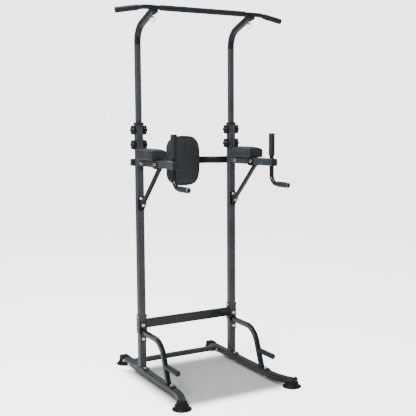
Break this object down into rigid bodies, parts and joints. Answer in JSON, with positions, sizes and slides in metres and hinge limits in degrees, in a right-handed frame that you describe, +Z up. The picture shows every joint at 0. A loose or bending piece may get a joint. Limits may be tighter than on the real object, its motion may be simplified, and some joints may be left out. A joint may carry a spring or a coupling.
{
  "type": "power tower",
  "caption": "Free-standing power tower with a height-adjustable pull-up bar, padded dip arms, a backrest and push-up handles.",
  "frame": {"origin": "On the floor, at the middle of the footprint.", "axes": "+Z is up, -Y is the front that the arms, the pull-up bar and the push-up handles point to, +X is the right-hand side seen from the front as the picture shows it."},
  "size_m": [1.0428, 0.9594, 2.106],
  "materials": {
    "frame_steel": "satin powder coat",
    "black_plastic": "moulded",
    "black_rubber": "moulded",
    "foam_grip": "fine foam",
    "black_vinyl": "grained vinyl",
    "board_wood": "plywood",
    "zinc_steel": "bright zinc",
    "chrome_wire": "polished"
  },
  "bodies": {
    "frame": {"base_rail_left": "frame_steel", "base_rail_right": "frame_steel", "foot_front_left": "black_rubber", "foot_front_right": "black_rubber", "foot_rear_left": "black_rubber", "foot_rear_right": "black_rubber", "rear_floor_bar": "frame_steel", "base_bolts": "zinc_steel", "upright_left": "frame_steel", "upright_right": "frame_steel", "sleeve_bush_left": "black_plastic", "sleeve_bush_right": "black_plastic", "lower_crossbeam": "frame_steel", "beam_backing_plates": "frame_steel", "beam_bolts": "zinc_steel", "curved_brace_left": "frame_steel", "curved_brace_right": "frame_steel", "push_up_grip_left": "foam_grip", "push_up_grip_right": "foam_grip", "arm_left": "frame_steel", "arm_right": "frame_steel", "arm_plug_left": "black_plastic", "arm_plug_right": "black_plastic", "arm_pad_left": "black_vinyl", "arm_pad_right": "black_vinyl", "arm_brace_left": "frame_steel", "arm_brace_right": "frame_steel", "dip_handle_left": "frame_steel", "dip_handle_right": "frame_steel", "dip_grip_left": "foam_grip", "dip_grip_right": "foam_grip", "lower_grip_left": "foam_grip", "lower_grip_right": "foam_grip", "arm_bolts": "zinc_steel", "backrest_crossbar": "frame_steel", "crossbar_caps": "black_plastic", "backrest_board": "board_wood", "backrest_pad": "black_vinyl", "backrest_bolts": "zinc_steel"},
    "top_frame": {"upper_tube_left": "frame_steel", "upper_tube_right": "frame_steel", "curved_top_tube_left": "frame_steel", "curved_top_tube_right": "frame_steel", "pull_up_bar": "frame_steel", "bar_grip_centre": "foam_grip", "bar_grip_left": "foam_grip", "bar_grip_right": "foam_grip", "bar_bolts": "black_plastic", "ring_eyes": "chrome_wire"},
    "ring_left": {"ring_left": "chrome_wire"},
    "ring_right": {"ring_right": "chrome_wire"},
    "knob_left_outer_top": {"knob_left_outer_top": "black_plastic"},
    "knob_left_inner_top": {"knob_left_inner_top": "black_plastic"},
    "knob_left_outer_low": {"knob_left_outer_low": "black_plastic"},
    "knob_left_inner_low": {"knob_left_inner_low": "black_plastic"},
    "knob_right_outer_top": {"knob_right_outer_top": "black_plastic"},
    "knob_right_inner_top": {"knob_right_inner_top": "black_plastic"},
    "knob_right_outer_low": {"knob_right_outer_low": "black_plastic"},
    "knob_right_inner_low": {"knob_right_inner_low": "black_plastic"}
  },
  "joints": [
    {"name": "height_slide", "type": "slide", "parent": "frame", "child": "top_frame", "axis": [0, 0, 1], "range_m": [-0.1785, 0]},
    {"name": "ring_left_swing", "type": "hinge", "parent": "top_frame", "child": "ring_left", "pos_m": [-0.304, -0.04375, 2.033], "axis": [0, 1, 0], "range_deg": [-75, 75]},
    {"name": "ring_right_swing", "type": "hinge", "parent": "top_frame", "child": "ring_right", "pos_m": [0.304, -0.04375, 2.033], "axis": [0, 1, 0], "range_deg": [-75, 75]},
    {"name": "knob_left_outer_top_turn", "type": "hinge", "parent": "frame", "child": "knob_left_outer_top", "pos_m": [-0.304, 0.16525, 1.436], "axis": [1, 0, 0], "continuous": true},
    {"name": "knob_left_inner_top_turn", "type": "hinge", "parent": "frame", "child": "knob_left_inner_top", "pos_m": [-0.304, 0.16525, 1.436], "axis": [1, 0, 0], "continuous": true},
    {"name": "knob_left_outer_low_turn", "type": "hinge", "parent": "frame", "child": "knob_left_outer_low", "pos_m": [-0.304, 0.16525, 1.353], "axis": [1, 0, 0], "continuous": true},
    {"name": "knob_left_inner_low_turn", "type": "hinge", "parent": "frame", "child": "knob_left_inner_low", "pos_m": [-0.304, 0.16525, 1.353], "axis": [1, 0, 0], "continuous": true},
    {"name": "knob_right_outer_top_turn", "type": "hinge", "parent": "frame", "child": "knob_right_outer_top", "pos_m": [0.304, 0.16525, 1.436], "axis": [1, 0, 0], "continuous": true},
    {"name": "knob_right_inner_top_turn", "type": "hinge", "parent": "frame", "child": "knob_right_inner_top", "pos_m": [0.304, 0.16525, 1.436], "axis": [1, 0, 0], "continuous": true},
    {"name": "knob_right_outer_low_turn", "type": "hinge", "parent": "frame", "child": "knob_right_outer_low", "pos_m": [0.304, 0.16525, 1.353], "axis": [1, 0, 0], "continuous": true},
    {"name": "knob_right_inner_low_turn", "type": "hinge", "parent": "frame", "child": "knob_right_inner_low", "pos_m": [0.304, 0.16525, 1.353], "axis": [1, 0, 0], "continuous": true}
  ]
}
